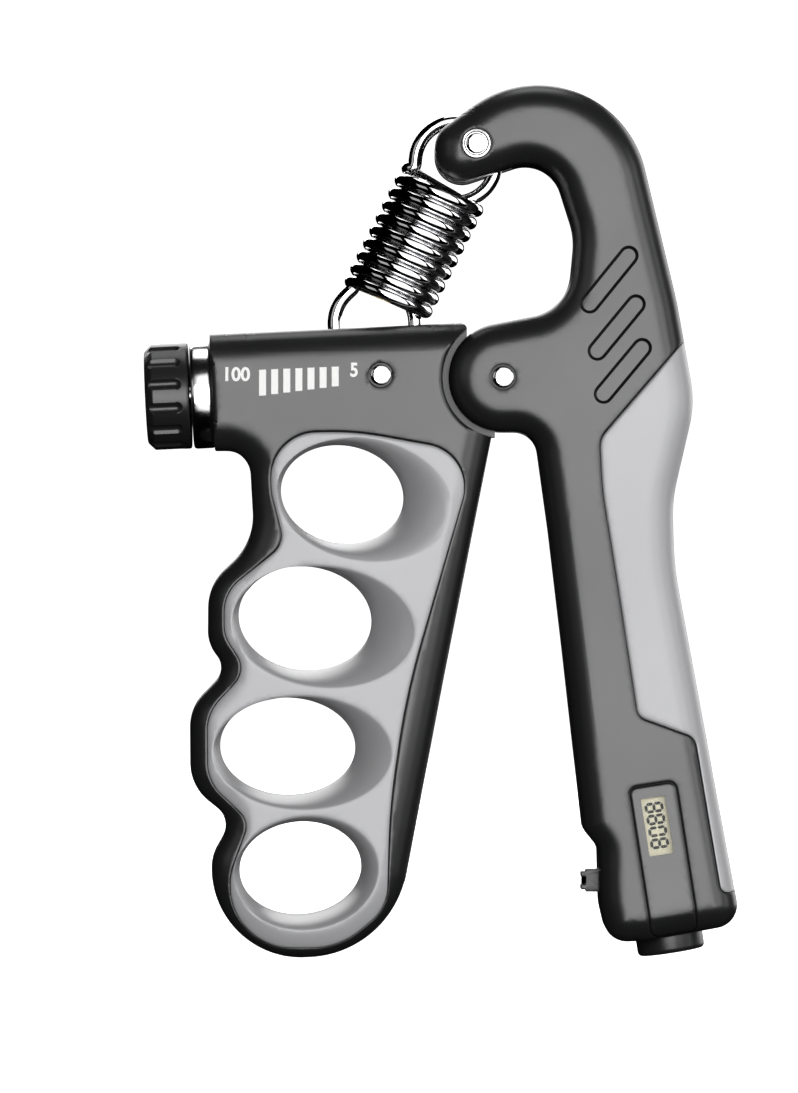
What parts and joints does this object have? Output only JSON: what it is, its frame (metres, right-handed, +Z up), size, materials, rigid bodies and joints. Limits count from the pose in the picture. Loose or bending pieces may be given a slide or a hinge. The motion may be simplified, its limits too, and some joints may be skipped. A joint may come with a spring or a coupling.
{
  "type": "hand dynamometer",
  "caption": "Counting hand gripper: hooked palm handle with display, four-hole finger handle, coil tension spring between them, and a knob that sets the force.",
  "frame": {"origin": "middle of the palm grip, in the handle's middle plane", "axes": "+X from the finger handle to the palm handle, +Z up the handles to the hook, -Y the side with the display"},
  "size_m": [0.1162, 0.026, 0.1708],
  "materials": {
    "black_shell": "satin moulded",
    "silver_insert": "satin silver grey",
    "black_screws": "black zinc",
    "bright_steel": "polished",
    "chrome": "bright",
    "plain_steel": "plain",
    "brass_bush": "turned",
    "panel": "satin",
    "window": "clear",
    "lcd": "beige",
    "rubber_strips": "matt",
    "board": "solder mask",
    "switch_plastic": "matt",
    "black_buttons": "satin",
    "black_knob": "satin"
  },
  "bodies": {
    "palm_handle": {"palm_shell_front": "black_shell", "palm_shell_back": "black_shell", "palm_grip_insert": "silver_insert", "palm_shell_screws": "black_screws", "pivot_rivet": "bright_steel", "hinge_washers": "bright_steel", "nose_pin": "bright_steel", "eye_bush": "bright_steel", "display_panel": "panel", "display_window": "window", "display_glass": "lcd", "contact_strips": "rubber_strips", "circuit_board": "board", "coin_cell": "plain_steel", "cell_clip": "plain_steel", "count_switch": "switch_plastic", "reset_switch": "switch_plastic", "count_spring": "plain_steel", "reset_spring": "plain_steel"},
    "count_plunger": {"count_plunger": "black_buttons"},
    "reset_button": {"reset_button": "black_buttons"},
    "finger_handle": {"finger_frame_front": "black_shell", "finger_frame_back": "black_shell", "finger_insert_front": "silver_insert", "finger_insert_back": "silver_insert", "finger_frame_screws": "black_screws", "pivot_bush": "brass_bush", "housing_rivets": "bright_steel", "thrust_collar": "chrome"},
    "force_knob": {"force_knob": "black_knob", "lead_screw": "bright_steel", "screw_clip": "bright_steel"},
    "slider": {"slider_nut": "brass_bush", "hook_pin": "bright_steel"},
    "spring_top": {"spring_upper": "chrome"},
    "spring_middle": {"spring_middle": "chrome"},
    "spring_bottom": {"spring_lower": "chrome"}
  },
  "joints": [
    {"name": "squeeze", "type": "hinge", "parent": "palm_handle", "child": "finger_handle", "pos_m": [-0.022, 0, 0.036], "axis": [0, -1, 0], "range_deg": [0, 19], "stiffness_Nm_per_rad": 3, "springref_deg": -20.05},
    {"name": "knob_turn", "type": "hinge", "parent": "finger_handle", "child": "force_knob", "pos_m": [-0.0788, 0, 0.0328], "axis": [0.9989, 0, 0.0471], "range_deg": [-2530, 0]},
    {"name": "slider_travel", "type": "slide", "parent": "finger_handle", "child": "slider", "axis": [0.9989, 0, 0.0471], "range_m": [-0.0142, 0]},
    {"name": "spring_lean", "type": "hinge", "parent": "palm_handle", "child": "spring_top", "pos_m": [-0.0272, 0, 0.0816], "axis": [0, -1, 0], "range_deg": [-13.2, 0]},
    {"name": "spring_stretch", "type": "slide", "parent": "spring_top", "child": "spring_middle", "axis": [-0.0565, 0, -0.9984], "range_m": [0, 0.0092], "deforming": ["spring_upper", "spring_middle", "spring_lower"]},
    {"name": "spring_draw", "type": "slide", "parent": "spring_middle", "child": "spring_bottom", "axis": [-0.4871, 0, -0.8734], "range_m": [0, 0.0092]},
    {"name": "count_push", "type": "slide", "parent": "palm_handle", "child": "count_plunger", "axis": [1, 0, 0], "range_m": [0, 0.001], "stiffness_N_per_m": 300, "springref_m": -0.0015},
    {"name": "reset_push", "type": "slide", "parent": "palm_handle", "child": "reset_button", "axis": [-0.154, 0, 0.9881], "range_m": [0, 0.0012], "stiffness_N_per_m": 400, "springref_m": -0.0015, "deforming": ["reset_spring"]}
  ],
  "couplings": [
    {"joint": "knob_turn", "follows": "slider_travel", "rad_per_m": 3097.3},
    {"joint": "spring_lean", "follows": "slider_travel", "rad_per_m": 15.857},
    {"joint": "squeeze", "follows": "spring_stretch", "rad_per_m": 36.024},
    {"joint": "spring_draw", "follows": "slider_travel", "ratio": -0.62369}
  ]
}
